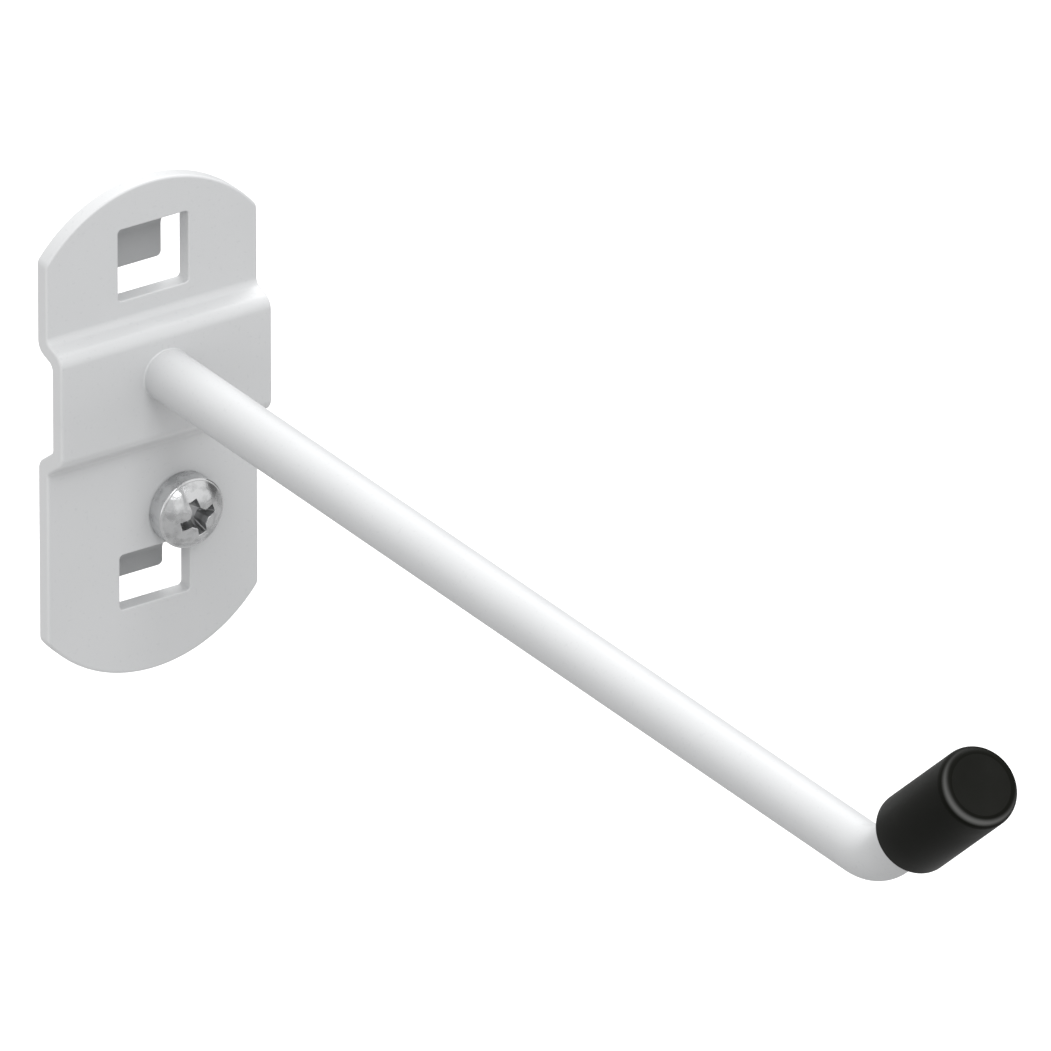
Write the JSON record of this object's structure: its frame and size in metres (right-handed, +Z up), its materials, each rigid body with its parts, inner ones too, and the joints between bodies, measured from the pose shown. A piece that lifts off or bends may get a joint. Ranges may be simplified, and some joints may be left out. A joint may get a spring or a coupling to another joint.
{
  "type": "tool hook",
  "caption": "Tool hook for a square-hole wall panel: folded plate with pressed hook tabs, round arm turned up at a capped end, and a locking screw.",
  "frame": {"origin": "middle of the plane that lies on the panel, on the plate's centre line and halfway up it", "axes": "+Y into the panel, so the arm reaches along -Y; +Z up; +X to the right when facing the panel"},
  "size_m": [0.0276, 0.1721, 0.06],
  "materials": {
    "powder_coat": "light grey powder coat, satin",
    "black_plastic": "black soft plastic, matt",
    "zinc": "bright zinc plate"
  },
  "bodies": {
    "root": {"back_plate": "powder_coat", "arm": "powder_coat", "end_cap": "black_plastic", "locking_screw": "zinc"}
  },
  "joints": []
}
